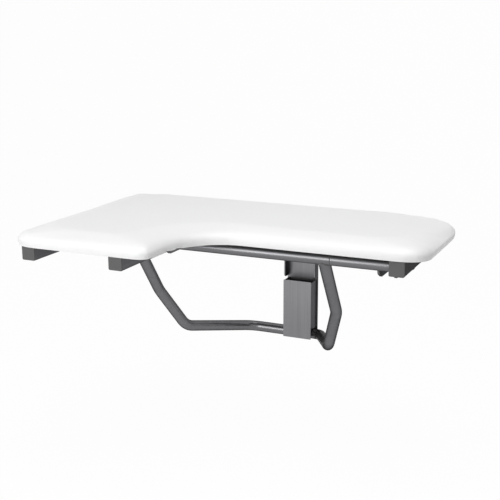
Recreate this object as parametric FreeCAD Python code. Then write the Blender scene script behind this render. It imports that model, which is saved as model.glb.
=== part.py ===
import FreeCAD, Part
import math
import os

from FreeCAD import Vector

# Fold down wall seat with an L-shaped padded top.
# Millimetres. X runs along the wall, Y points into the wall, Z points up.
# The sketch frame has the wall face at Y = 0 and the top of the steel frame at Z = 0.
# Every solid is moved at the end, so that the file's origin is the centre of the
# four screw holes in the back of the guide plate.

# Padded top
seat_width = 838.0
seat_rear_y = -55.0
wide_depth = 525.0
narrow_depth = 337.0
leg_room_x = -84.0
rear_left_radius = 42.0
rear_right_radius = 110.0
front_right_radius = 52.0
inner_radius = 118.0
nose_radius = 26.0
front_left_radius = 50.0
cushion_height = 33.0
cushion_bottom = 1.5
cushion_edge_height = 15.0
cushion_shoulder = 24.0
crown_run = 58.0
crown_rise = 2.5
side_tuck = 4.0
tuck_shares = [(0.0, 1.0), (0.35, 0.25), (0.7, 0.0)]
shoulder_steps = 6
crown_steps = 3
smallest_corner = 1.0
board_thickness = 12.0
board_inset = 5.0

# Square frame tube
tube_size = 31.75
tube_wall = 1.6
tube_corner = 3.0
tube_left_inset = 38.0
tube_middle_x = -170.0
tube_right_inset = 62.0
tube_front_set_back = 20.0
right_tube_set_back = 7.0
tube_rear_y = -70.0
cross_tube_ahead_of_rail = 36.0
plug_depth = 14.0
plug_cap = 2.0
plug_clearance = 0.05
plug_chamfer = 1.0

# Pivot at the wall
hinge_y = -96.0
shaft_radius = 8.0
shaft_overhang = 3.0
shaft_chamfer = 1.0
running_clearance = 0.05
bracket_left_inset = 53.0
bracket_right_inset = 101.0
ear_thickness = 5.0
ear_gap = 30.0
ear_eye_radius = 15.0
ear_arm_height = 24.0
ear_toe_rise = 12.0
ear_toe_reach = 22.0
ear_corner_radius = 12.0
bracket_plate_thickness = 4.0
bracket_plate_width = 76.0
bracket_plate_top = -26.0
bracket_plate_corner = 6.0
bracket_hole_radius = 3.3
bracket_hole_edge = 12.0
bracket_bottom = -118.0
bush_wall = 2.0
bush_flange_thickness = 1.5
bush_flange_radius = 12.5
side_play = 0.3
collar_width = 12.0
collar_radius = 14.0
collar_chamfer = 0.8
set_screw_radius = 2.5
set_screw_socket_radius = 1.3
set_screw_recess = 0.5
set_screw_socket_depth = 3.0

# Rail that carries the leg
rail_y = -362.0
rail_radius = 12.7
round_wall = 1.6
sleeve_half = 238.0
rod_radius = 8.0

# Leg: one bent tube under the sleeve
leg_x = -24.0
leg_radius = 12.7
arm_top_inset = 16.0
knee_inset = 20.0
knee_y = -264.0
knee_z = -158.0
elbow_half_span = 180.0
elbow_y = -206.0
elbow_z = -258.0
foot_half_span = 91.0
foot_y = -18.2
foot_z = -301.5
knee_bend_radius = 70.0
elbow_bend_radius = 45.0
foot_bend_radius = 38.0

# Guide plate on the wall
guide_x = 14.0
guide_sheet = 2.5
guide_top = -75.0
guide_flange_bottom = -163.0
guide_flange_depth = 25.0
guide_flange_corner = 8.0
guide_screw_spacing_x = 50.0
guide_screw_spacing_z = 190.0
guide_screw_mid_z = -195.0
guide_hole_radius = 2.8
guide_countersink_radius = 5.0
foot_stop_gap = 0.3
foot_stop_depth = 20.0
foot_stop_inset = 14.0

# Shoe that rides on the leg's foot
shoe_width = 72.0
shoe_front_y = -39.0
shoe_sheet = 1.5
shoe_top = -166.0
shoe_front_drop = 10.0
shoe_cheek_gap = 0.8
shoe_corner = 12.0
shoe_top_corner = 2.0
shoe_bottom_corner = 1.0
shoe_rear_clearance = 0.5
shoe_side_clearance = 1.5
wall_glide_gap = 0.3
block_height = 46.0
block_chamfer = 3.0
block_mouth_half_angle = 58.0
rivet_radius = 2.4
rivet_head_radius = 4.2
rivet_depth = 9.0
rivet_spacing = 18.0
rivet_margin = 4.0

# Wood screws from the tubes into the board
screw_radius = 2.2
screw_head_radius = 4.8
screw_head_height = 2.6
screw_bite = 9.0
screw_hole_clearance = 0.3
screw_end_distance = 45.0
screw_head_chamfer = 1.4

# How far a cutting tool runs past the face it cuts
past = 1.0
same_place = 0.01

tube_half = tube_size / 2
pivot_z = -tube_half
seat_front_y = seat_rear_y - wide_depth
narrow_front_y = seat_rear_y - narrow_depth
left_x = -seat_width / 2
right_x = seat_width / 2
tube_left_x = left_x + tube_left_inset
tube_right_x = right_x - tube_right_inset
bracket_left_x = tube_left_x + bracket_left_inset
bracket_right_x = tube_right_x - bracket_right_inset
cross_tube_y = rail_y - cross_tube_ahead_of_rail
arm_top_half_span = sleeve_half - arm_top_inset
knee_half_span = sleeve_half - knee_inset
long_tube_front_y = seat_front_y + tube_front_set_back
right_tube_front_y = narrow_front_y + right_tube_set_back
sleeve_left = leg_x - sleeve_half
sleeve_right = leg_x + sleeve_half
shoe_left = guide_x - shoe_width / 2
shoe_right = guide_x + shoe_width / 2
guide_inner = shoe_width + 2 * shoe_side_clearance
guide_width = guide_inner + 2 * guide_sheet
guide_bottom = foot_z - leg_radius - foot_stop_gap - guide_sheet
origin_shift = Vector(-guide_x, 0, -guide_screw_mid_z)

os.makedirs("parts", exist_ok=True)


def box(x0, x1, y0, y1, z0, z1):
    """Block between two corners."""
    return Part.makeBox(x1 - x0, y1 - y0, z1 - z0, Vector(x0, y0, z0))


def rod_x(radius, x0, x1, y, z):
    """Round bar along X."""
    return Part.makeCylinder(radius, x1 - x0, Vector(x0, y, z), Vector(1, 0, 0))


def rod_y(radius, y0, y1, x, z):
    """Round bar along Y."""
    return Part.makeCylinder(radius, y1 - y0, Vector(x, y0, z), Vector(0, 1, 0))


def rod_z(radius, z0, z1, x, y):
    """Round bar along Z."""
    return Part.makeCylinder(radius, z1 - z0, Vector(x, y, z0), Vector(0, 0, 1))


def edges_at(shape, axis, place):
    """Edges that lie in the plane at that place on an axis."""
    found = []
    for edge in shape.Edges:
        low = getattr(edge.BoundBox, axis + "Min")
        high = getattr(edge.BoundBox, axis + "Max")
        if max(abs(low - place), abs(high - place)) < same_place:
            found.append(edge)
    return found


def rounded_wire(points, radii):
    """Closed wire through straight edges, with an arc of its own radius at each corner."""
    edges = []
    starts = []
    ends = []
    middles = []
    count = len(points)
    for i in range(count):
        corner = points[i]
        back = (points[i - 1] - corner).normalize()
        ahead = (points[(i + 1) % count] - corner).normalize()
        half = back.getAngle(ahead) / 2
        reach = radii[i] / math.tan(half)
        middle_way = (back + ahead).normalize()
        starts.append(corner + back * reach)
        ends.append(corner + ahead * reach)
        middles.append(corner + middle_way * (radii[i] / math.sin(half) - radii[i]))
    for i in range(count):
        if radii[i] > 0:
            edges.append(Part.Arc(starts[i], middles[i], ends[i]).toShape())
        following = starts[(i + 1) % count]
        if (following - ends[i]).Length > same_place:
            edges.append(Part.LineSegment(ends[i], following).toShape())
    return Part.Wire(edges)


def rounded_plate(points, radii, depth):
    """Plate with rounded corners, pushed out along depth."""
    return Part.Face(rounded_wire(points, radii)).extrude(depth)


def seat_outline(inset, height):
    """L-shaped outline of the top, drawn in by inset."""
    corners = [
        (left_x + inset, seat_front_y + inset, front_left_radius, 1),
        (leg_room_x - inset, seat_front_y + inset, nose_radius, 1),
        (leg_room_x - inset, narrow_front_y + inset, inner_radius, -1),
        (right_x - inset, narrow_front_y + inset, front_right_radius, 1),
        (right_x - inset, seat_rear_y - inset, rear_right_radius, 1),
        (left_x + inset, seat_rear_y - inset, rear_left_radius, 1),
    ]
    points = [Vector(x, y, height) for x, y, radius, side in corners]
    radii = [max(radius - side * inset, smallest_corner) for x, y, radius, side in corners]
    return rounded_wire(points, radii)


def seat_slab(inset, z0, z1):
    """Flat slab of the seat outline."""
    return Part.Face(seat_outline(inset, z0)).extrude(Vector(0, 0, z1 - z0))


def cushion():
    """Padded top over the board: drawn-in sides, a rounded shoulder and a low crown."""
    side_rise = cushion_edge_height - cushion_bottom
    sections = [seat_outline(side_tuck * tuck, cushion_bottom + side_rise * up) for up, tuck in tuck_shares]
    shoulder_rise = cushion_height - crown_rise - cushion_edge_height
    for i in range(shoulder_steps + 1):
        turn = math.pi / 2 * i / shoulder_steps
        inset = cushion_shoulder * (1 - math.cos(turn))
        sections.append(seat_outline(inset, cushion_edge_height + shoulder_rise * math.sin(turn)))
    for i in range(1, crown_steps + 1):
        share = i / crown_steps
        inset = cushion_shoulder + (crown_run - cushion_shoulder) * share
        rise = crown_rise * math.sin(math.pi / 2 * share)
        sections.append(seat_outline(inset, cushion_height - crown_rise + rise))
    solid = Part.makeLoft(sections, True, True)
    return solid.cut(seat_slab(board_inset, 0.0, board_thickness))


def screw_places():
    """Centres of the screws that hold the top on the tubes."""
    places = []
    for x, front in ((tube_left_x, long_tube_front_y), (tube_right_x, right_tube_front_y)):
        places.append((x, front + screw_end_distance))
        places.append((x, (front + tube_rear_y) / 2))
        places.append((x, hinge_y - screw_end_distance))
    places.append((tube_middle_x, long_tube_front_y + screw_end_distance))
    places.append(((tube_left_x + tube_middle_x) / 2, cross_tube_y))
    return places


def screw_cuts(solid):
    """Drill the screw holes through a tube."""
    radius = screw_radius + screw_hole_clearance
    for x, y in screw_places():
        solid = solid.cut(rod_z(radius, -tube_size - past, past, x, y))
    return solid


def board():
    """Plywood board on the tubes, its lower edge in view under the padding."""
    solid = seat_slab(board_inset, 0.0, board_thickness)
    for x, y in screw_places():
        solid = solid.cut(rod_z(screw_radius, -past, screw_bite, x, y))
    return solid


def board_screws():
    """Pan-head screws under the tubes."""
    screws = []
    for x, y in screw_places():
        shank = rod_z(screw_radius, -tube_size, screw_bite, x, y)
        head = rod_z(screw_head_radius, -tube_size - screw_head_height, -tube_size, x, y)
        head = head.makeChamfer(screw_head_chamfer, edges_at(head, "Z", -tube_size - screw_head_height))
        screws.append(shank.fuse(head).removeSplitter())
    return screws


def square_profile(size, corner, along, x, y):
    """Rounded square across a tube that runs along the given axis."""
    half = size / 2
    flat = [(-half, -half), (half, -half), (half, half), (-half, half)]
    if along == "Y":
        points = [Vector(x + a, y, pivot_z + b) for a, b in flat]
    else:
        points = [Vector(x, y + a, pivot_z + b) for a, b in flat]
    return Part.Face(rounded_wire(points, [corner] * 4))


def square_tube(along, x, y, length):
    """Square tube from its start, with an open bore."""
    push = Vector(0, length, 0) if along == "Y" else Vector(length, 0, 0)
    outer = square_profile(tube_size, tube_corner, along, x, y).extrude(push)
    bore_size = tube_size - 2 * tube_wall
    inner = square_profile(bore_size, tube_corner - tube_wall, along, x, y).extrude(push)
    return outer.cut(inner)


def long_tube(x, front_y):
    """Side tube, drilled for the wall shaft and the rail's rod."""
    tube = square_tube("Y", x, front_y, tube_rear_y - front_y)
    tube = tube.cut(rod_x(shaft_radius, x - tube_size, x + tube_size, hinge_y, pivot_z))
    tube = tube.cut(rod_x(rod_radius, x - tube_size, x + tube_size, rail_y, pivot_z))
    return screw_cuts(tube)


def middle_tube():
    """Short tube under the wide end, which stops at the cross tube."""
    length = cross_tube_y - tube_half - long_tube_front_y
    return screw_cuts(square_tube("Y", tube_middle_x, long_tube_front_y, length))


def cross_tube():
    """Tube that ties the middle tube to the left one."""
    start = tube_left_x + tube_half
    length = tube_middle_x + tube_half - start
    return screw_cuts(square_tube("X", start, cross_tube_y, length))


def tube_plug(x, mouth_y, outward):
    """Plastic plug: a hollow stem in the tube and a chamfered cap over its mouth."""
    stem_size = tube_size - 2 * tube_wall - 2 * plug_clearance
    stem_corner = tube_corner - tube_wall
    stem = square_profile(stem_size, stem_corner, "Y", x, mouth_y)
    stem = stem.extrude(Vector(0, -outward * plug_depth, 0))
    hollow_size = stem_size - 2 * plug_cap
    hollow = square_profile(hollow_size, stem_corner / 2, "Y", x, mouth_y)
    hollow = hollow.extrude(Vector(0, -outward * (plug_depth + past), 0))
    cap = square_profile(tube_size, tube_corner, "Y", x, mouth_y)
    cap = cap.extrude(Vector(0, outward * plug_cap, 0))
    cap = cap.makeChamfer(plug_chamfer, edges_at(cap, "Y", mouth_y + outward * plug_cap))
    return cap.fuse(stem.cut(hollow)).removeSplitter()


def cross_plug():
    """Flat plug in the open end of the cross tube."""
    end_x = tube_middle_x + tube_half
    stem_size = tube_size - 2 * tube_wall - 2 * plug_clearance
    stem = square_profile(stem_size, tube_corner - tube_wall, "X", end_x - plug_depth, cross_tube_y)
    stem = stem.extrude(Vector(plug_depth, 0, 0))
    cap = square_profile(tube_size, tube_corner, "X", end_x, cross_tube_y)
    return stem.fuse(cap.extrude(Vector(plug_cap, 0, 0))).removeSplitter()


def wall_shaft():
    """Steel shaft through both side tubes, on which the seat turns."""
    start = tube_left_x - tube_half - shaft_overhang
    end = tube_right_x + tube_half + shaft_overhang
    shaft = rod_x(shaft_radius, start, end, hinge_y, pivot_z)
    return shaft.makeChamfer(shaft_chamfer, edges_at(shaft, "X", start) + edges_at(shaft, "X", end))


def hinge_bracket(x):
    """Wall plate with two goose-neck ears that reach under the folded seat to the shaft."""
    half = bracket_plate_width / 2
    low = [Vector(x + dx, -bracket_plate_thickness, bracket_bottom) for dx in (-half, half)]
    high = [Vector(x + dx, -bracket_plate_thickness, bracket_plate_top) for dx in (half, -half)]
    points = low + high
    plate = rounded_plate(points, [bracket_plate_corner] * 4, Vector(0, bracket_plate_thickness, 0))
    for dx, z in bracket_holes():
        plate = plate.cut(rod_y(bracket_hole_radius, -bracket_plate_thickness - past, past, x + dx, z))
    solid = plate
    arm_top = bracket_bottom + ear_arm_height
    near = hinge_y + ear_eye_radius
    far = hinge_y - ear_eye_radius
    for start in (x - ear_gap / 2 - ear_thickness, x + ear_gap / 2):
        outline = [
            Vector(start, -bracket_plate_thickness, bracket_bottom),
            Vector(start, -bracket_plate_thickness, arm_top),
            Vector(start, near, arm_top),
            Vector(start, near, pivot_z),
            Vector(start, far, pivot_z),
            Vector(start, far, bracket_bottom + ear_toe_rise),
            Vector(start, far + ear_toe_reach, bracket_bottom),
        ]
        rounds = [0, 0, ear_corner_radius, 0, 0, ear_corner_radius, ear_corner_radius]
        push = Vector(ear_thickness, 0, 0)
        ear = rounded_plate(outline, rounds, push)
        eye = rod_x(ear_eye_radius, start, start + ear_thickness, hinge_y, pivot_z)
        solid = solid.fuse(ear.fuse(eye))
    solid = solid.removeSplitter()
    bore = rod_x(shaft_radius + bush_wall, x - ear_gap, x + ear_gap, hinge_y, pivot_z)
    return solid.cut(bore)


def bracket_holes():
    """Screw holes of a hinge bracket, from its centre line."""
    dx = bracket_plate_width / 2 - bracket_hole_edge
    low = bracket_bottom + bracket_hole_edge
    high = bracket_plate_top - bracket_hole_edge
    return [(side * dx, z) for side in (-1, 1) for z in (low, high)]


def shaft_ring(radius, a, b):
    """Ring that turns freely on the wall shaft, between two places along it."""
    ring = rod_x(radius, min(a, b), max(a, b), hinge_y, pivot_z)
    return ring.cut(rod_x(shaft_radius + running_clearance, min(a, b), max(a, b), hinge_y, pivot_z))


def hinge_bushes():
    """Flanged plastic bushes, one in each ear, with the flange outside."""
    bushes = []
    for x in (bracket_left_x, bracket_right_x):
        for side in (-1, 1):
            inner_face = x + side * ear_gap / 2
            outer_face = inner_face + side * ear_thickness
            flange_face = outer_face + side * bush_flange_thickness
            body = shaft_ring(shaft_radius + bush_wall, inner_face, outer_face)
            flange = shaft_ring(bush_flange_radius, outer_face, flange_face)
            bushes.append(body.fuse(flange).removeSplitter())
    return bushes


def collar_span(x, side):
    """Ends of the collar beside one bracket."""
    near = x + side * (ear_gap / 2 + ear_thickness + bush_flange_thickness + side_play)
    far = near + side * collar_width
    return min(near, far), max(near, far)


def shaft_collars():
    """Set collars that keep the shaft from sliding sideways."""
    collars = []
    screws = []
    for x, side in ((bracket_left_x, -1), (bracket_right_x, 1)):
        start, end = collar_span(x, side)
        middle = (start + end) / 2
        ring = rod_x(collar_radius, start, end, hinge_y, pivot_z)
        ring = ring.makeChamfer(collar_chamfer, edges_at(ring, "X", start) + edges_at(ring, "X", end))
        shaft = rod_x(shaft_radius, start - past, end + past, hinge_y, pivot_z)
        ring = ring.cut(shaft)
        low = pivot_z - collar_radius
        screw = rod_z(set_screw_radius, low + set_screw_recess, pivot_z - shaft_radius, middle, hinge_y)
        screw = screw.cut(shaft)
        socket = rod_z(set_screw_socket_radius, low, low + set_screw_socket_depth, middle, hinge_y)
        drill = rod_z(set_screw_radius, low - past, pivot_z, middle, hinge_y)
        collars.append(ring.cut(drill))
        screws.append(screw.cut(socket))
    return collars, screws


def rail_rod():
    """Solid rod through the side tubes, inside the rail."""
    return rod_x(rod_radius, tube_left_x - tube_half, tube_right_x + tube_half, rail_y, pivot_z)


def rail_stub(start, end):
    """Fixed end of the rail, welded to a side tube."""
    outer = rod_x(rail_radius, start, end, rail_y, pivot_z)
    return outer.cut(rod_x(rail_radius - round_wall, start, end, rail_y, pivot_z))


def stub_left():
    """Rail from the left tube to the sleeve."""
    return rail_stub(tube_left_x + tube_half, sleeve_left - bush_flange_thickness - side_play)


def stub_right():
    """Rail from the sleeve to the right tube."""
    return rail_stub(sleeve_right + bush_flange_thickness + side_play, tube_right_x - tube_half)


def stub_spacers():
    """Rings that centre the rod in the open end of each stub."""
    rings = []
    left_end = sleeve_left - bush_flange_thickness - side_play
    right_end = sleeve_right + bush_flange_thickness + side_play
    for start, end in ((left_end - plug_depth, left_end), (right_end, right_end + plug_depth)):
        ring = rod_x(rail_radius - round_wall, start, end, rail_y, pivot_z)
        rings.append(ring.cut(rod_x(rod_radius, start, end, rail_y, pivot_z)))
    return rings


def leg_sleeve():
    """Tube that turns on the rod and carries both arms of the leg."""
    outer = rod_x(rail_radius, sleeve_left, sleeve_right, rail_y, pivot_z)
    return outer.cut(rod_x(rail_radius - round_wall, sleeve_left, sleeve_right, rail_y, pivot_z))


def sleeve_bushes():
    """Flanged plastic bushes in the ends of the sleeve."""
    bushes = []
    for end, side in ((sleeve_left, -1), (sleeve_right, 1)):
        inner = end - side * plug_depth
        flange_face = end + side * bush_flange_thickness
        body = rod_x(rail_radius - round_wall, min(inner, end), max(inner, end), rail_y, pivot_z)
        flange = rod_x(rail_radius, min(end, flange_face), max(end, flange_face), rail_y, pivot_z)
        reach = 2 * plug_depth
        bore = rod_x(rod_radius + running_clearance, end - reach, end + reach, rail_y, pivot_z)
        bushes.append(body.fuse(flange).removeSplitter().cut(bore))
    return bushes


def leg_path():
    """Centre line of the leg: straight runs joined by tangent arcs."""
    side = [
        (arm_top_half_span, rail_y, pivot_z, 0),
        (knee_half_span, knee_y, knee_z, knee_bend_radius),
        (elbow_half_span, elbow_y, elbow_z, elbow_bend_radius),
        (foot_half_span, foot_y, foot_z, foot_bend_radius),
    ]
    points = [Vector(leg_x - dx, y, z) for dx, y, z, radius in side]
    points += [Vector(leg_x + dx, y, z) for dx, y, z, radius in reversed(side)]
    radii = [radius for dx, y, z, radius in side]
    radii += list(reversed(radii))
    edges = []
    last = points[0]
    for i in range(1, len(points) - 1):
        corner = points[i]
        back = (points[i - 1] - corner).normalize()
        ahead = (points[i + 1] - corner).normalize()
        half = back.getAngle(ahead) / 2
        reach = radii[i] / math.tan(half)
        middle_way = (back + ahead).normalize()
        start = corner + back * reach
        end = corner + ahead * reach
        middle = corner + middle_way * (radii[i] / math.sin(half) - radii[i])
        edges.append(Part.LineSegment(last, start).toShape())
        edges.append(Part.Arc(start, middle, end).toShape())
        last = end
    edges.append(Part.LineSegment(last, points[-1]).toShape())
    return Part.Wire(edges), points


def leg_pipe(path, points, radius):
    """Round pipe along the leg's centre line."""
    ring = Part.makeCircle(radius, points[0], (points[1] - points[0]).normalize())
    return Part.Wire(path).makePipeShell([Part.Wire(ring)], True, False)


def leg_tube():
    """Bent tube, coped to fit the sleeve."""
    path, points = leg_path()
    outer = leg_pipe(path, points, leg_radius)
    inner = leg_pipe(path, points, leg_radius - round_wall)
    tube = outer.cut(inner)
    tube = tube.cut(rod_x(rail_radius, sleeve_left - past, sleeve_right + past, rail_y, pivot_z))
    pieces = sorted(tube.Solids, key=lambda piece: piece.Volume)
    section = math.pi * (leg_radius ** 2 - (leg_radius - round_wall) ** 2)
    share = pieces[-1].Volume / section / path.Length
    print("leg tube length", round(path.Length, 1), "volume share", round(share, 3))
    return pieces[-1]


def guide_plate():
    """Wall plate with a stop for the foot below and a channel for the shoe above."""
    half = guide_width / 2
    x0 = guide_x - half
    x1 = guide_x + half
    web = box(x0, x1, -guide_sheet, 0, guide_bottom, guide_top)
    solid = web
    for start in (x0, x1 - guide_sheet):
        outline = [
            Vector(start, 0, guide_flange_bottom),
            Vector(start, 0, guide_top),
            Vector(start, -guide_flange_depth, guide_top),
            Vector(start, -guide_flange_depth, guide_flange_bottom),
        ]
        rounds = [0, 0, guide_flange_corner, guide_flange_corner]
        solid = solid.fuse(rounded_plate(outline, rounds, Vector(guide_sheet, 0, 0)))
    stop = box(x0 + foot_stop_inset, x1 - foot_stop_inset, -foot_stop_depth, 0,
               guide_bottom, guide_bottom + guide_sheet)
    solid = solid.fuse(stop).removeSplitter()
    for x, z in guide_holes():
        solid = solid.cut(rod_y(guide_hole_radius, -guide_sheet - past, past, x, z))
        sink = Part.makeCone(guide_countersink_radius, guide_hole_radius,
                             guide_countersink_radius - guide_hole_radius,
                             Vector(x, -guide_sheet, z), Vector(0, 1, 0))
        solid = solid.cut(sink)
    return solid


def guide_holes():
    """Countersunk screw holes of the guide plate."""
    dx = guide_screw_spacing_x / 2
    dz = guide_screw_spacing_z / 2
    return [(guide_x + a * dx, guide_screw_mid_z + b * dz) for a in (-1, 1) for b in (-1, 1)]


def shoe_cover():
    """Folded sheet box: a front face that hides the foot and two cheeks above it."""
    shoe_bottom = foot_z - shoe_front_drop
    cheek_bottom = foot_z + leg_radius + shoe_cheek_gap
    cheek_rear = -guide_sheet - wall_glide_gap - shoe_rear_clearance
    low = [Vector(x, shoe_front_y, shoe_bottom) for x in (shoe_left, shoe_right)]
    high = [Vector(x, shoe_front_y, shoe_top) for x in (shoe_right, shoe_left)]
    rounds = [shoe_bottom_corner, shoe_bottom_corner, shoe_top_corner, shoe_top_corner]
    solid = rounded_plate(low + high, rounds, Vector(0, shoe_sheet, 0))
    for start in (shoe_left, shoe_right - shoe_sheet):
        outline = [
            Vector(start, shoe_front_y, cheek_bottom),
            Vector(start, cheek_rear, cheek_bottom),
            Vector(start, cheek_rear, shoe_top - shoe_top_corner),
            Vector(start, shoe_front_y, shoe_top - shoe_top_corner),
        ]
        rounds = [0, shoe_corner, shoe_top_corner, 0]
        solid = solid.fuse(rounded_plate(outline, rounds, Vector(shoe_sheet, 0, 0)))
    solid = solid.removeSplitter()
    for rivet in shoe_rivets():
        solid = solid.cut(rivet)
    return solid


def foot_straight_half():
    """Half of the straight run of the foot, between its two bends."""
    rise = Vector(elbow_half_span - foot_half_span, elbow_y - foot_y, elbow_z - foot_z)
    turn = Vector(1, 0, 0).getAngle(rise)
    return foot_half_span - foot_bend_radius * math.tan(turn / 2)


def slide_block():
    """Plastic glide between the cheeks, snapped over the straight run of the leg's foot."""
    x0 = shoe_left + shoe_sheet
    x1 = shoe_right - shoe_sheet
    front = shoe_front_y + shoe_sheet
    rear = -guide_sheet - wall_glide_gap
    bottom = foot_z - shoe_front_drop
    middle = foot_z + leg_radius + shoe_cheek_gap
    top = foot_z + block_height
    upper = box(x0, x1, front, rear, middle, top)
    rims = [e for e in edges_at(upper, "Z", top) if e.BoundBox.XLength > past]
    upper = upper.makeChamfer(block_chamfer, rims)
    hub_left = max(x0, leg_x - foot_straight_half())
    hub_right = min(x1, leg_x + foot_straight_half())
    block = upper.fuse(box(hub_left, hub_right, front, rear, bottom, middle)).removeSplitter()
    bore_radius = leg_radius + running_clearance
    block = block.cut(rod_x(bore_radius, x0, x1, foot_y, foot_z))
    mouth = bore_radius * math.sin(math.radians(block_mouth_half_angle))
    block = block.cut(box(x0, x1, foot_y - mouth, foot_y + mouth, bottom - past, foot_z))
    for rivet in shoe_rivets():
        block = block.cut(rivet)
    return block


def shoe_rivets():
    """Flush rivets through the cheeks into the glide."""
    rivets = []
    low = foot_z + leg_radius + shoe_cheek_gap + rivet_head_radius + rivet_margin
    middle_y = (shoe_front_y - guide_sheet) / 2
    for face, side in ((shoe_left, -1), (shoe_right, 1)):
        for z in (low, low + rivet_spacing):
            inner = face - side * rivet_depth
            shank = rod_x(rivet_radius, min(face, inner), max(face, inner), middle_y, z)
            place = Vector(face, middle_y, z)
            head = Part.makeCone(rivet_head_radius, rivet_radius, shoe_sheet, place, Vector(-side, 0, 0))
            rivets.append(shank.fuse(head).removeSplitter())
    return rivets


def save(name, shape):
    """Write one node, moved to the file's origin."""
    shapes = shape if isinstance(shape, list) else [shape]
    moved = []
    for item in shapes:
        solid = item.Solids[0] if len(item.Solids) == 1 else item
        moved.append(solid.translated(origin_shift))
    result = moved[0] if len(moved) == 1 else Part.makeCompound(moved)
    result.exportStep("parts/" + name + ".step")
    print(name, "solids", len(result.Solids), "valid", result.isValid(), "volume", round(result.Volume))


def main():
    """Build and write every piece."""
    collars, set_screws = shaft_collars()
    save("guide_plate", guide_plate())
    save("hinge_bracket_left", hinge_bracket(bracket_left_x))
    save("hinge_bracket_right", hinge_bracket(bracket_right_x))
    save("hinge_bushes", hinge_bushes())
    save("wall_shaft", wall_shaft())
    save("shaft_collars", collars)
    save("collar_set_screws", set_screws)
    save("frame_tube_left", long_tube(tube_left_x, long_tube_front_y))
    save("frame_tube_right", long_tube(tube_right_x, right_tube_front_y))
    save("frame_tube_middle", middle_tube())
    save("frame_cross_tube", cross_tube())
    save("tube_plugs_front", [
        tube_plug(tube_left_x, long_tube_front_y, -1),
        tube_plug(tube_middle_x, long_tube_front_y, -1),
        tube_plug(tube_right_x, right_tube_front_y, -1),
    ])
    save("tube_plugs_rear", [tube_plug(tube_left_x, tube_rear_y, 1), tube_plug(tube_right_x, tube_rear_y, 1)])
    save("cross_tube_plug", cross_plug())
    save("rail_rod", rail_rod())
    save("rail_stub_left", stub_left())
    save("rail_stub_right", stub_right())
    save("rod_spacers", stub_spacers())
    save("seat_board", board())
    save("board_screws", board_screws())
    save("cushion", cushion())
    save("leg_sleeve", leg_sleeve())
    save("sleeve_bushes", sleeve_bushes())
    save("leg_tube", leg_tube())
    save("shoe_cover", shoe_cover())
    save("slide_block", slide_block())
    save("shoe_rivets", shoe_rivets())


main()
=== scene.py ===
import math

import bmesh
import bpy
from mathutils import Matrix, Vector


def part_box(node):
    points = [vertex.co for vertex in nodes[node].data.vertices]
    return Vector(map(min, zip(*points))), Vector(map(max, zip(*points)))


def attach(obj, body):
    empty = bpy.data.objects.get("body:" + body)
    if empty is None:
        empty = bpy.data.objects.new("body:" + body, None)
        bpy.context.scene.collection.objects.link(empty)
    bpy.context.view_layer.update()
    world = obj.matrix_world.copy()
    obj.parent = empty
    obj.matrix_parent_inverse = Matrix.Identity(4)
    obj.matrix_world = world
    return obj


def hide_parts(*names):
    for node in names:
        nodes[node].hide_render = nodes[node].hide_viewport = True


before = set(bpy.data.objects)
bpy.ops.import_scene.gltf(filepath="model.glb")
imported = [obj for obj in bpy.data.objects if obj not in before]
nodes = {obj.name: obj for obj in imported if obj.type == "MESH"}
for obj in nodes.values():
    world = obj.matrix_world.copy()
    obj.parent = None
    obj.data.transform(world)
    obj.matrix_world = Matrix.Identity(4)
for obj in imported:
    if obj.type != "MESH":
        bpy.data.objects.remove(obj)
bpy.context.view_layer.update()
scene = bpy.context.scene
print("frame loaded:", len(nodes), "nodes")


# Shader maths: a socket in a small wrapper, so that an expression adds Math nodes
class Value:
    def __init__(self, tree, socket):
        self.tree = tree
        self.socket = socket

    def maths(self, operation, other, swapped=False):
        node = self.tree.nodes.new("ShaderNodeMath")
        node.operation = operation
        first, second = (other, self) if swapped else (self, other)
        for slot, item in enumerate((first, second)):
            if isinstance(item, Value):
                self.tree.links.new(item.socket, node.inputs[slot])
            else:
                node.inputs[slot].default_value = item
        return Value(self.tree, node.outputs[0])

    def __add__(self, other): return self.maths("ADD", other)
    def __radd__(self, other): return self.maths("ADD", other, True)
    def __sub__(self, other): return self.maths("SUBTRACT", other)
    def __rsub__(self, other): return self.maths("SUBTRACT", other, True)
    def __mul__(self, other): return self.maths("MULTIPLY", other)
    def __rmul__(self, other): return self.maths("MULTIPLY", other, True)


class Tree:
    # Any node tree: node() adds a node, its settings first and its sockets after
    def __init__(self, tree):
        self.tree = tree
        self.tree.nodes.clear()

    def node(self, kind, settings=None, sockets=None, out=0):
        made = self.tree.nodes.new(kind)
        for key, value in (settings or {}).items():
            setattr(made, key, value)
        for key, value in (sockets or {}).items():
            for item in value if isinstance(value, list) else [value]:
                if isinstance(item, Value):
                    self.tree.links.new(item.socket, made.inputs[key])
                else:
                    made.inputs[key].default_value = item
        return Value(self.tree, made.outputs[out]) if made.outputs else None


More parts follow.
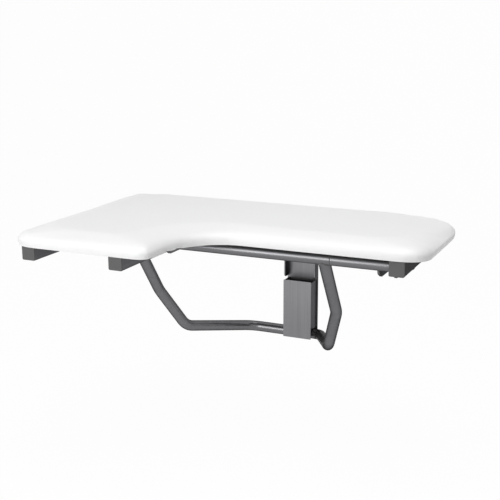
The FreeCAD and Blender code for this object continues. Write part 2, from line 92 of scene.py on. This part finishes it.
class Finish(Tree):
    # One material
    def __init__(self, name):
        self.material = bpy.data.materials.new(name)
        self.material.use_nodes = True
        super().__init__(self.material.node_tree)

    def place(self, stretch=(1, 1, 1)):
        spot = self.node("ShaderNodeTexCoord", out="Object")
        return self.node("ShaderNodeMapping", sockets={"Vector": spot, "Scale": stretch})

    def speckle(self, scale, detail=2.0, stretch=(1, 1, 1), rough=0.5):
        sockets = {"Vector": self.place(stretch), "Scale": scale, "Detail": detail, "Roughness": rough}
        return self.node("ShaderNodeTexNoise", sockets=sockets)

    def blend(self, share, a, b):
        sockets = {0: share, 6: (*a, 1), 7: (*b, 1)}
        return self.node("ShaderNodeMix", {"data_type": "RGBA"}, sockets, out=2)

    def relief(self, height, strength, depth, under=None):
        sockets = {"Height": height, "Strength": strength, "Distance": depth}
        if under:
            sockets["Normal"] = under
        return self.node("ShaderNodeBump", sockets=sockets)

    def close(self, **sockets):
        named = {key.replace("_", " "): value for key, value in sockets.items()}
        shader = self.node("ShaderNodeBsdfPrincipled", sockets=named)
        self.node("ShaderNodeOutputMaterial", sockets={"Surface": shader})
        return self.material


def shade(tone, warmth=0.0):
    return (tone * (1 + warmth), tone, tone * (1 - warmth))


# Brushed stainless: fine lines along the piece, broader lines under them, and soft smudges
steelLook = {
    "tone": 0.17, "spread": 0.38, "blue": 1.04, "metal": 0.88, "edgeShadeTone": 0.06,
    "lineScale": 420.0, "lineStretch": 0.012, "broadScale": 71.4, "smudgeScale": 11.0,
    "lineShare": 0.45, "broadShare": 0.35, "smudgeShare": 0.2,
    "lineHeight": 0.7, "broadHeight": 0.3, "bump": 0.35, "lineDepth": 0.00012,
    "rough": 0.34, "roughDrop": 0.1, "roughSmudge": 0.12, "roughLine": 0.08,
}


def brushedSteel(name, along, tone=steelLook["tone"], rough=steelLook["rough"]):
    look = steelLook
    finish = Finish(name)
    stretch = tuple(look["lineStretch"] if axis == along else 1.0 for axis in "XYZ")
    lines = finish.speckle(look["lineScale"], 3.0, stretch, 0.6)
    broad = finish.speckle(look["broadScale"], 2.0, stretch, 0.5)
    smudge = finish.speckle(look["smudgeScale"], 3.0)
    share = lines * look["lineShare"] + broad * look["broadShare"] + smudge * look["smudgeShare"]
    ends = (tone * (1 - look["spread"]), tone * (1 + look["spread"]))
    color = finish.blend(share, *((end, end, end * look["blue"]) for end in ends))
    height = lines * look["lineHeight"] + broad * look["broadHeight"]
    normal = finish.relief(height, look["bump"], look["lineDepth"])
    roughness = smudge * look["roughSmudge"] + lines * look["roughLine"] + (rough - look["roughDrop"])
    # The edge colour is painted shade: it darkens the steel's grazing reflections, standing in for dark
    # surroundings reflected in the steel
    edge = (*shade(look["edgeShadeTone"]), 1)
    return finish.close(
        Base_Color=color, Metallic=look["metal"], Roughness=roughness, Normal=normal, Specular_Tint=edge)


# White padded cover: fine leather grain with a soft satin face
coverLook = {
    "tone": 0.90, "shadeTone": 0.865, "warpScale": 180.0, "cloudScale": 6.0, "cloudShare": 0.7, "warpShare": 0.3,
    "grain": 620.0, "grainSlope": 2.2, "grainTop": 0.5, "grainSoft": 0.3, "warpHeight": 0.35,
    "grainBump": 0.4, "grainDepth": 0.00022, "swellBump": 0.25, "swellDepth": 0.0012,
    "rough": 0.46, "roughDrop": 0.08, "roughCloud": 0.1, "roughGrain": 0.06, "coat": 0.08, "coatRough": 0.35,
}


def whiteVinyl():
    look = coverLook
    finish = Finish("whiteVinyl")
    warp = finish.speckle(look["warpScale"], 2.0)
    sockets = {"Vector": finish.place(), "Scale": look["grain"], "Randomness": 1.0}
    cells = finish.node("ShaderNodeTexVoronoi", {"feature": "DISTANCE_TO_EDGE"}, sockets)
    sockets = {0: cells * look["grainSlope"], 1: look["grainTop"], 2: look["grainSoft"]}
    pebble = finish.node("ShaderNodeMath", {"operation": "SMOOTH_MIN"}, sockets)
    cloud = finish.speckle(look["cloudScale"], 3.0)
    share = cloud * look["cloudShare"] + warp * look["warpShare"]
    color = finish.blend(share, shade(look["shadeTone"]), shade(look["tone"]))
    grain = finish.relief(pebble + warp * look["warpHeight"], look["grainBump"], look["grainDepth"])
    swell = finish.relief(cloud, look["swellBump"], look["swellDepth"], grain)
    roughness = cloud * look["roughCloud"] + (1 - pebble) * look["roughGrain"] + (look["rough"] - look["roughDrop"])
    return finish.close(
        Base_Color=color, Roughness=roughness, Normal=swell, Coat_Weight=look["coat"],
        Coat_Roughness=look["coatRough"])


# Dark sealed plywood: thin plies at the edge and faint grain below. Its dark tone is partly painted shade: the
# board's edge showing under the pad stands in for the shade line there.
boardLook = {
    "tone": 0.11, "toneWarmth": 0.01, "light": 0.18, "lightWarmth": 0.02, "grain": 34.0,
    "grainStretch": (0.12, 1.6, 1.0), "grainShare": 0.6, "plies": 31.0, "plyWaver": 0.4, "plyShare": 0.4,
    "bump": 0.3, "grainDepth": 0.0003, "rough": 0.55, "roughDrop": 0.07, "roughGrain": 0.15,
}


def darkBoard():
    look = boardLook
    finish = Finish("darkBoard")
    grain = finish.speckle(look["grain"], 5.0, look["grainStretch"], 0.6)
    sockets = {"Vector": finish.place(), "Scale": look["plies"], "Distortion": look["plyWaver"], "Detail": 1.0}
    plies = finish.node("ShaderNodeTexWave", {"bands_direction": "Z"}, sockets, out="Fac")
    share = grain * look["grainShare"] + plies * look["plyShare"]
    dark, light = shade(look["tone"], look["toneWarmth"]), shade(look["light"], look["lightWarmth"])
    color = finish.blend(share, dark, light)
    normal = finish.relief(grain, look["bump"], look["grainDepth"])
    roughness = grain * look["roughGrain"] + (look["rough"] - look["roughDrop"])
    return finish.close(Base_Color=color, Roughness=roughness, Normal=normal)


# Moulded plastic: plugs, bushes and the glide
plasticLook = {
    "cloudScale": 22.0, "cloudShare": 0.6, "pebbleShare": 0.4, "darkest": 0.88, "lightest": 1.1,
    "bump": 0.25, "pebbleDepth": 0.00012, "roughDrop": 0.1, "roughCloud": 0.12, "roughPebble": 0.08,
}


def mouldedPlastic(name, tone, rough, pebbleScale, warmth=0.0):
    look = plasticLook
    finish = Finish(name)
    pebble = finish.speckle(pebbleScale, 2.0)
    cloud = finish.speckle(look["cloudScale"], 3.0)
    share = cloud * look["cloudShare"] + pebble * look["pebbleShare"]
    ends = (shade(tone * look[key], warmth) for key in ("darkest", "lightest"))
    color = finish.blend(share, *ends)
    normal = finish.relief(pebble, look["bump"], look["pebbleDepth"])
    roughness = cloud * look["roughCloud"] + pebble * look["roughPebble"] + (rough - look["roughDrop"])
    return finish.close(Base_Color=color, Roughness=roughness, Normal=normal)


# Weld seams: duller than the tube, with a faint heat tint in the steel
weldLook = {
    "cool": (0.10, 0.10, 0.105), "warm": (0.17, 0.165, 0.16), "cloudScale": 60.0,
    "rippleScale": 900.0, "bump": 0.3, "rippleDepth": 0.0001, "rough": 0.3, "roughCloud": 0.15,
}


def weldMetal():
    look = weldLook
    finish = Finish("weldMetal")
    ripple = finish.speckle(look["rippleScale"], 2.0)
    cloud = finish.speckle(look["cloudScale"], 2.0)
    color = finish.blend(cloud, look["cool"], look["warm"])
    normal = finish.relief(ripple, look["bump"], look["rippleDepth"])
    roughness = cloud * look["roughCloud"] + look["rough"]
    return finish.close(Base_Color=color, Metallic=1.0, Roughness=roughness, Normal=normal)


steelX = brushedSteel("brushedSteelX", "X")
steelY = brushedSteel("brushedSteelY", "Y")
steelZ = brushedSteel("brushedSteelZ", "Z")
steelLeg = brushedSteel("satinLegTube", "X", tone=0.168, rough=0.30)
# Lighter copy of the brushed steel for the shoe cover and its rivets: the extra tone is painted light, standing in
# for the front light falling on the box face
steelBoxLit = brushedSteel("brushedBoxFace", "Z", tone=0.2, rough=0.36)
steelDark = brushedSteel("darkFastener", "X", tone=0.10, rough=0.38)
vinyl = whiteVinyl()
board = darkBoard()
greyPlastic = mouldedPlastic("greyPlug", tone=0.085, rough=0.5, pebbleScale=900.0)
nylon = mouldedPlastic("whiteNylon", tone=0.80, rough=0.42, pebbleScale=700.0, warmth=0.02)
weld = weldMetal()

finishes = {
    "guide_plate": steelZ, "hinge_bracket_left": steelZ, "hinge_bracket_right": steelZ,
    "hinge_bushes": nylon, "wall_shaft": steelX, "shaft_collars": steelX,
    "collar_set_screws": steelDark, "frame_tube_left": steelY, "frame_tube_right": steelY,
    "frame_tube_middle": steelY, "frame_cross_tube": steelX, "tube_plugs_front": greyPlastic,
    "tube_plugs_rear": greyPlastic, "cross_tube_plug": greyPlastic, "rail_rod": steelX,
    "rail_stub_left": steelX, "rail_stub_right": steelX, "rod_spacers": nylon,
    "seat_board": board, "board_screws": steelDark, "cushion": vinyl,
    "leg_sleeve": steelX, "sleeve_bushes": greyPlastic, "leg_tube": steelLeg,
    "shoe_cover": steelBoxLit, "slide_block": nylon, "shoe_rivets": steelBoxLit,
}


def dress(piece, material):
    piece.data.materials.clear()
    piece.data.materials.append(material)
    return piece


for name, material in finishes.items():
    dress(nodes[name], material)
print("materials made:", len(set(finishes.values())))


def newPiece(name, mesh):
    piece = bpy.data.objects.new(name, mesh)
    scene.collection.objects.link(piece)
    return piece


def finishedMesh(piece):
    # The evaluated piece as a plain mesh, its modifiers used up
    graph = bpy.context.evaluated_depsgraph_get()
    mesh = bpy.data.meshes.new_from_object(piece.evaluated_get(graph))
    mesh.name = piece.name
    piece.modifiers.clear()
    piece.data = mesh
    return piece


def smooth(piece, angle=None):
    piece.data.polygons.foreach_set("use_smooth", [True] * len(piece.data.polygons))
    if angle:
        piece.data.set_sharp_from_angle(angle=math.radians(angle))
    return piece


class Growth(Tree):
    # One Geometry Nodes tree with named sizes, put on a piece and used up
    def __init__(self, name, sizes):
        super().__init__(bpy.data.node_groups.new(name, "GeometryNodeTree"))
        self.sizes = sizes
        face = self.tree.interface
        face.new_socket("Geometry", in_out="INPUT", socket_type="NodeSocketGeometry")
        for key, value in sizes.items():
            kind = "NodeSocketInt" if isinstance(value, int) else "NodeSocketFloat"
            face.new_socket(key, in_out="INPUT", socket_type=kind).default_value = value
        face.new_socket("Geometry", in_out="OUTPUT", socket_type="NodeSocketGeometry")

    def given(self, name):
        return self.node("NodeGroupInput", out=name)

    def moved(self, mesh, shift=(0, 0, 0), scale=(1, 1, 1)):
        places = {"Geometry": mesh}
        for key, parts in (("Translation", shift), ("Scale", scale)):
            places[key] = self.node("ShaderNodeCombineXYZ", sockets=dict(zip("XYZ", parts)))
        return self.node("GeometryNodeTransform", sockets=places)

    def rod(self, corners, radius, depth, foot):
        sockets = {"Vertices": corners, "Radius": radius, "Depth": depth}
        mesh = self.node("GeometryNodeMeshCylinder", sockets=sockets)
        return self.moved(mesh, (0, 0, foot + depth * 0.5))

    def close(self, shape, material):
        real = self.node("GeometryNodeRealizeInstances", sockets={"Geometry": shape})
        dressed = self.node("GeometryNodeSetMaterial", sockets={"Geometry": real, "Material": material})
        self.node("NodeGroupOutput", sockets={"Geometry": dressed})

    def put(self, piece):
        modifier = piece.modifiers.new(self.tree.name, "NODES")
        modifier.node_group = self.tree
        for item in self.tree.interface.items_tree:
            if item.in_out == "INPUT" and item.name in self.sizes:
                modifier[item.identifier] = self.sizes[item.name]
        return finishedMesh(piece)


def islands(name):
    # Lowest and highest corner of each separate solid in a frame node
    form = bmesh.new()
    form.from_mesh(nodes[name].data)
    bmesh.ops.remove_doubles(form, verts=form.verts, dist=1e-6)
    found = []
    waiting = set(form.verts)
    while waiting:
        group = [waiting.pop()]
        for vertex in group:
            near = {edge.other_vert(vertex) for edge in vertex.link_edges} & waiting
            waiting -= near
            group.extend(near)
        corners = [[pick(v.co[i] for v in group) for i in range(3)] for pick in (min, max)]
        found.append([Vector(corner) for corner in corners])
    form.free()
    return sorted(found, key=lambda pair: tuple(pair[0]))


def linesPiece(name, lines):
    # Open or closed runs of points joined by edges
    form = bmesh.new()
    for points, closed in lines:
        verts = [form.verts.new(point) for point in points]
        for first, second in zip(verts, verts[1:] + verts[:1] if closed else verts[1:]):
            form.edges.new((first, second))
    mesh = bpy.data.meshes.new(name)
    form.to_mesh(mesh)
    form.free()
    return newPiece(name, mesh)


# Weld seams: a row of small overlapping beads along each joint of the steel
seamLook = {"pitch": 0.0013, "bead": 0.0016, "flat": 0.62, "least": 0.9, "most": 1.12, "seed": 4}


def makeBeadTree():
    tree = Growth("weldBeads", seamLook)
    line = tree.node("GeometryNodeMeshToCurve", sockets={"Mesh": tree.given("Geometry")})
    sockets = {"Curve": line, "Length": tree.given("pitch")}
    evenly = tree.node("GeometryNodeResampleCurve", {"mode": "LENGTH"}, sockets)
    bead = tree.node("GeometryNodeMeshIcoSphere", sockets={"Radius": tree.given("bead"), "Subdivisions": 2})
    bead = tree.moved(bead, scale=(1, 1, tree.given("flat")))
    bead = tree.node("GeometryNodeSetShadeSmooth", sockets={"Geometry": bead})
    way = tree.node("GeometryNodeInputTangent")
    turn = tree.node("FunctionNodeAlignRotationToVector", {"axis": "Z"}, {"Vector": way})
    limits = {2: tree.given("least"), 3: tree.given("most"), 8: tree.given("seed")}
    size = tree.node("FunctionNodeRandomValue", {"data_type": "FLOAT"}, limits, out=1)
    sockets = {"Points": evenly, "Instance": bead, "Rotation": turn, "Scale": size}
    tree.close(tree.node("GeometryNodeInstanceOnPoints", sockets=sockets), weld)
    return tree


joints = {"ringSteps": 36, "tubeRound": 0.003, "kneeIn": 0.004, "kneeBack": 0.098, "kneeDrop": 0.142,
          "armIn": 0.016, "ear": 0.005, "earGap": 0.030, "earRise": 0.024, "plate": 0.004}


def ringAround(x, low, high):
    middle, radius = (low + high) / 2, (high.z - low.z) / 2
    turns = [math.tau * step / joints["ringSteps"] for step in range(joints["ringSteps"])]
    return [(x, middle.y + radius * math.cos(turn), middle.z + radius * math.sin(turn)) for turn in turns], True


def saddle(side):
    # Where one arm of the leg meets the sleeve
    low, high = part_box("leg_sleeve")
    middle, radius = (low + high) / 2, (high.z - low.z) / 2
    end = high.x if side > 0 else low.x
    start = Vector((end - side * joints["armIn"], middle.y, middle.z))
    way = Vector((-side * joints["kneeIn"], joints["kneeBack"], -joints["kneeDrop"])).normalized()
    across = way.cross(Vector((1, 0, 0))).normalized()
    other = way.cross(across)
    points = []
    for step in range(joints["ringSteps"] * 2):
        turn = math.tau * step / joints["ringSteps"] / 2
        off = (across * math.cos(turn) + other * math.sin(turn)) * radius * 0.999
        a = way.y ** 2 + way.z ** 2
        b = off.y * way.y + off.z * way.z
        c = off.y ** 2 + off.z ** 2 - radius ** 2
        points.append(start + off + way * ((math.sqrt(b * b - a * c) - b) / a))
    return points, True


def earSeam(name, side):
    low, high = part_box(name)
    middle = (low.x + high.x) / 2
    y = high.y - joints["plate"]
    inner = middle + side * joints["earGap"] / 2
    outer = inner + side * joints["ear"]
    foot, top = low.z + seamLook["bead"], low.z + joints["earRise"]
    return [(outer, y, foot), (outer, y, top), (inner, y, top), (inner, y, foot)], False


def frameSeams():
    tie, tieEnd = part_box("frame_cross_tube")
    short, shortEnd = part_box("frame_tube_middle")
    drop = joints["tubeRound"]
    left = [(tie.x, y, z) for y, z in (
        (tie.y, tieEnd.z - drop), (tie.y, tie.z + drop), (tie.y + drop, tie.z),
        (tieEnd.y - drop, tie.z), (tieEnd.y, tie.z + drop), (tieEnd.y, tieEnd.z - drop))]
    rear = [(x, shortEnd.y, z) for x, z in (
        (short.x, shortEnd.z - drop), (short.x, short.z + drop),
        (short.x + drop, short.z), (shortEnd.x - drop, short.z))]
    stubLeft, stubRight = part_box("rail_stub_left"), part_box("rail_stub_right")
    rings = [ringAround(stubLeft[0].x, *stubLeft), ringAround(stubRight[1].x, *stubRight)]
    return [(left, False), (rear, False)] + rings


def makeWelds():
    tree = makeBeadTree()
    brackets = ("hinge_bracket_left", "hinge_bracket_right")
    seams = {
        "seat": frameSeams(),
        "leg": [saddle(-1), saddle(1)],
        "wall_set": [earSeam(name, side) for name in brackets for side in (-1, 1)],
    }
    for body, lines in seams.items():
        piece = tree.put(linesPiece("welds_" + body, lines))
        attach(piece, body)
        print("welds on", body, len(piece.data.polygons), "faces")


makeWelds()

# Screws under the tubes, on a plain shank. The head was meant as a dome with a hexagon socket, but the
# cut leaves only a flat disc of its width.
screw = {"headRadius": 0.0048, "headHeight": 0.0026, "socket": 0.0022, "socketDepth": 0.0015,
         "shankRadius": 0.0022, "shankLength": 0.0405, "corners": 24, "rings": 12, "socketSides": 6,
         "shankCorners": 12}


def makeScrewTree():
    tree = Growth("boardScrew", screw)
    radius, height, depth = (tree.given(key) for key in ("headRadius", "headHeight", "socketDepth"))
    sockets = {"Segments": tree.given("corners"), "Rings": tree.given("rings"), "Radius": 1.0}
    ball = tree.node("GeometryNodeMeshUVSphere", sockets=sockets)
    dome = tree.moved(ball, scale=(radius, radius, height))
    lid = tree.rod(tree.given("corners"), radius * 1.5, height * 2, height * 0)
    socket = tree.rod(tree.given("socketSides"), tree.given("socket"), depth * 2, (height + depth) * -1)
    sockets = {"Mesh 1": dome, "Mesh 2": [lid, socket]}
    cut = tree.node("GeometryNodeMeshBoolean", {"operation": "DIFFERENCE"}, sockets)
    shank = tree.rod(tree.given("shankCorners"), tree.given("shankRadius"), tree.given("shankLength"), height * 0)
    whole = tree.node("GeometryNodeJoinGeometry", sockets={"Geometry": [cut, shank]})
    sockets = {"Points": tree.given("Geometry"), "Instance": whole}
    tree.close(tree.node("GeometryNodeInstanceOnPoints", sockets=sockets), steelDark)
    return tree


def makeScrews():
    seats = []
    for low, high in islands("board_screws"):
        middle = (low + high) / 2
        seats.append(([(middle.x, middle.y, low.z + screw["headHeight"])], False))
    piece = makeScrewTree().put(linesPiece("boardScrews", seats))
    smooth(piece, angle=30)
    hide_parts("board_screws")
    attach(piece, "seat")
    print("screws made:", len(seats), "with", len(piece.data.polygons), "faces")


makeScrews()

# Padded top: the frame's pad swollen by a short cloth run, held where it meets the board
pad = {
    "voxel": 0.0075, "shrink": 0.0016, "blend": 0.008, "pressure": 0.7, "frames": 16, "quality": 4, "cap": 0.004,
    "rounds": 2, "ease": 0.5, "under": 0.0008, "rim": 0.008, "rimLevel": 0.0008, "rimRounds": 6,
    "sharpAngle": 50, "fill": 0.85,
}


def easeRim(mesh, low):
    # The cover's lowest row goes down to the rim, and the rim is evened along its own run
    form = bmesh.new()
    form.from_mesh(mesh)
    for vertex in form.verts:
        if vertex.co.z < low + pad["rim"]:
            vertex.co.z = low
    level = low + pad["rimLevel"]
    beside = {v: [edge.other_vert(v) for edge in v.link_edges] for v in form.verts if v.co.z < level}
    rim = {v for v, near in beside.items() if any(other.co.z > level for other in near)}
    for turn in range(pad["rimRounds"]):
        moved = {}
        for vertex in rim:
            near = [other.co for other in beside[vertex] if other in rim]
            if len(near) > 1:
                moved[vertex] = vertex.co.lerp(sum(near, Vector()) / len(near), pad["ease"])
        for vertex, spot in moved.items():
            vertex.co = spot
    crease = form.edges.layers.float.new("crease_edge")
    for edge in form.edges:
        if edge.verts[0] in rim and edge.verts[1] in rim:
            edge[crease] = 1.0
    form.to_mesh(mesh)
    form.free()


def padStart():
    mesh = bpy.data.meshes.new("padStart")
    form = bmesh.new()
    form.from_mesh(nodes["seat_board"].data)
    bmesh.ops.remove_doubles(form, verts=form.verts, dist=1e-5)
    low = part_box("cushion")[0].z - pad["under"]
    everything = form.verts[:] + form.edges[:] + form.faces[:]
    cut = bmesh.ops.bisect_plane(form, geom=everything, plane_co=(0, 0, low), plane_no=(0, 0, 1), clear_inner=True)
    rim = [edge for edge in cut["geom_cut"] if isinstance(edge, bmesh.types.BMEdge)]
    bmesh.ops.holes_fill(form, edges=rim)
    form.from_mesh(nodes["cushion"].data)
    bmesh.ops.remove_doubles(form, verts=form.verts, dist=1e-6)
    form.to_mesh(mesh)
    form.free()
    piece = newPiece("padCover", mesh)
    remesh = piece.modifiers.new("remesh", "REMESH")
    remesh.mode = "VOXEL"
    remesh.voxel_size = pad["voxel"]
    remesh.use_smooth_shade = True
    finishedMesh(piece)
    easeRim(piece.data, low)
    return piece


def evenOut(piece, rounds, held):
    form = bmesh.new()
    form.from_mesh(piece.data)
    free = [v for v in form.verts if v.co.z > held]
    for turn in range(rounds):
        bmesh.ops.smooth_vert(
            form, verts=free, factor=pad["ease"], use_axis_x=True, use_axis_y=True, use_axis_z=True)
    form.to_mesh(piece.data)
    form.free()


def swellPad(piece, held):
    mesh = piece.data
    normals = [v.normal.copy() for v in mesh.vertices]
    for vertex, normal in zip(mesh.vertices, normals):
        share = min(max((vertex.co.z - held) / pad["blend"], 0.0), 1.0)
        vertex.co -= normal * pad["shrink"] * share
    starts = [v.co.copy() for v in mesh.vertices]
    group = piece.vertex_groups.new(name="held")
    group.add([v.index for v in mesh.vertices if v.co.z <= held], 1.0, "REPLACE")
    cloth = piece.modifiers.new("cloth", "CLOTH")
    cloth.settings.vertex_group_mass = "held"
    cloth.settings.use_pressure = True
    cloth.settings.uniform_pressure_force = pad["pressure"]
    cloth.settings.effector_weights.gravity = 0.0
    cloth.settings.quality = pad["quality"]
    cloth.collision_settings.use_self_collision = False
    cloth.point_cache.frame_start = 1
    cloth.point_cache.frame_end = pad["frames"]
    for step in range(1, pad["frames"] + 1):
        scene.frame_set(step)
    finishedMesh(piece)
    farthest = 0.0
    for vertex, start in zip(piece.data.vertices, starts):
        move = vertex.co - start
        farthest = max(farthest, move.length)
        if move.length > pad["cap"]:
            vertex.co = start + move.normalized() * pad["cap"]
    scene.frame_set(1)
    print("pad swelled, farthest free move", round(farthest * 1000, 1), "mm")


def makePad():
    piece = padStart()
    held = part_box("seat_board")[1].z
    evenOut(piece, pad["rounds"], held)
    swellPad(piece, held)
    evenOut(piece, pad["rounds"], held)
    finer = piece.modifiers.new("finer", "SUBSURF")
    finer.levels = finer.render_levels = 1
    finishedMesh(piece)
    smooth(dress(piece, vinyl), pad["sharpAngle"])
    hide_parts("cushion")
    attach(piece, "seat")
    print("pad made:", len(piece.data.polygons), "faces")
    return piece


makePad()

# Camera as in the photo, a level lamp set and a pale floor
shot = {"place": (0.83161, -2.14645, 0.66035), "yaw": 24.43, "pitch": 13.74, "roll": -0.23, "focal": 69.55}


def makeCamera():
    data = bpy.data.cameras.new("camera")
    data.sensor_width = 36.0
    data.lens = shot["focal"]
    data.clip_start, data.clip_end = 0.01, 60.0
    camera = bpy.data.objects.new("camera", data)
    scene.collection.objects.link(camera)
    yaw, pitch, roll = (math.radians(shot[key]) for key in ("yaw", "pitch", "roll"))
    ahead = Vector((-math.sin(yaw) * math.cos(pitch), math.cos(yaw) * math.cos(pitch), -math.sin(pitch)))
    right = Vector((math.cos(yaw), math.sin(yaw), 0.0))
    above = right.cross(ahead)
    side = right * math.cos(roll) + above * math.sin(roll)
    up = above * math.cos(roll) - right * math.sin(roll)
    turn = Matrix((side, up, -ahead)).transposed().to_4x4()
    camera.matrix_world = Matrix.Translation(shot["place"]) @ turn
    scene.camera = camera


lamps = [
    {"name": "overhead", "place": (0.2, -0.8, 2.4), "aim": (0.0, -0.3, 0.1), "size": 1.6, "power": 33.0},
    {"name": "frontKey", "place": (-0.9, -2.6, 0.35), "aim": (0.0, -0.3, 0.0), "size": 1.1, "power": 21.0},
    {"name": "frontFill", "place": (1.9, -2.2, 0.5), "aim": (0.0, -0.3, 0.1), "size": 1.0, "power": 1.5},
]


def makeLamp(name, place, aim, size, power):
    data = bpy.data.lights.new(name, "AREA")
    data.size = size
    data.energy = power
    lamp = bpy.data.objects.new(name, data)
    scene.collection.objects.link(lamp)
    way = Vector(aim) - Vector(place)
    lamp.matrix_world = Matrix.Translation(place) @ way.to_track_quat("-Z", "Y").to_matrix().to_4x4()


def seenDirectly(work):
    camera, glossy, through = (
        work.node("ShaderNodeLightPath", out="Is " + kind + " Ray") for kind in ("Camera", "Glossy", "Transmission")
    )
    return (camera + glossy + through).maths("MINIMUM", 1.0)


room = {"floorZ": -0.30, "reach": 6.0, "backY": 3.2, "bend": 1.2, "height": 5.0, "steps": 12,
        "cloudScale": 3.0, "dark": 0.86, "pale": 0.88, "glow": 0.97, "light": 0.36}


def makeRoom():
    finish = Finish("paleFloor")
    cloud = finish.speckle(room["cloudScale"], 2.0)
    color = finish.blend(cloud, shade(room["dark"]), shade(room["pale"]))
    plain = finish.node("ShaderNodeBsdfDiffuse", sockets={"Color": color})
    glow = finish.node("ShaderNodeEmission", sockets={"Strength": 1.0})
    mixed = finish.node("ShaderNodeMixShader", sockets={0: seenDirectly(finish) * room["glow"], 1: plain, 2: glow})
    finish.node("ShaderNodeOutputMaterial", sockets={"Surface": mixed})
    profile = [(-room["reach"], room["floorZ"]), (room["backY"] - room["bend"], room["floorZ"])]
    for step in range(1, room["steps"] + 1):
        turn = math.pi / 2 * step / room["steps"]
        y = room["backY"] - room["bend"] * (1 - math.sin(turn))
        profile.append((y, room["floorZ"] + room["bend"] * (1 - math.cos(turn))))
    profile.append((room["backY"], room["floorZ"] + room["height"]))
    form = bmesh.new()
    rows = [[form.verts.new((x, y, z)) for y, z in profile] for x in (-room["reach"], room["reach"])]
    for i in range(len(profile) - 1):
        form.faces.new((rows[0][i], rows[1][i], rows[1][i + 1], rows[0][i + 1]))
    mesh = bpy.data.meshes.new("floorSweep")
    form.to_mesh(mesh)
    form.free()
    floor = smooth(dress(newPiece("floorSweep", mesh), finish.material))


def makeWorld():
    world = bpy.data.worlds.new("paleRoom")
    world.use_nodes = True
    scene.world = world
    sky = Tree(world.node_tree)
    lit = sky.node("ShaderNodeBackground", sockets={"Color": (1, 1, 1, 1), "Strength": room["light"]})
    seen = sky.node("ShaderNodeBackground", sockets={"Color": (1, 1, 1, 1), "Strength": 1.0})
    mixed = sky.node("ShaderNodeMixShader", sockets={0: seenDirectly(sky), 1: lit, 2: seen})
    sky.node("ShaderNodeOutputWorld", sockets={"Surface": mixed})


makeCamera()
for lamp in lamps:
    makeLamp(**lamp)
makeRoom()
makeWorld()
scene.view_settings.view_transform = "Standard"
print("room made")
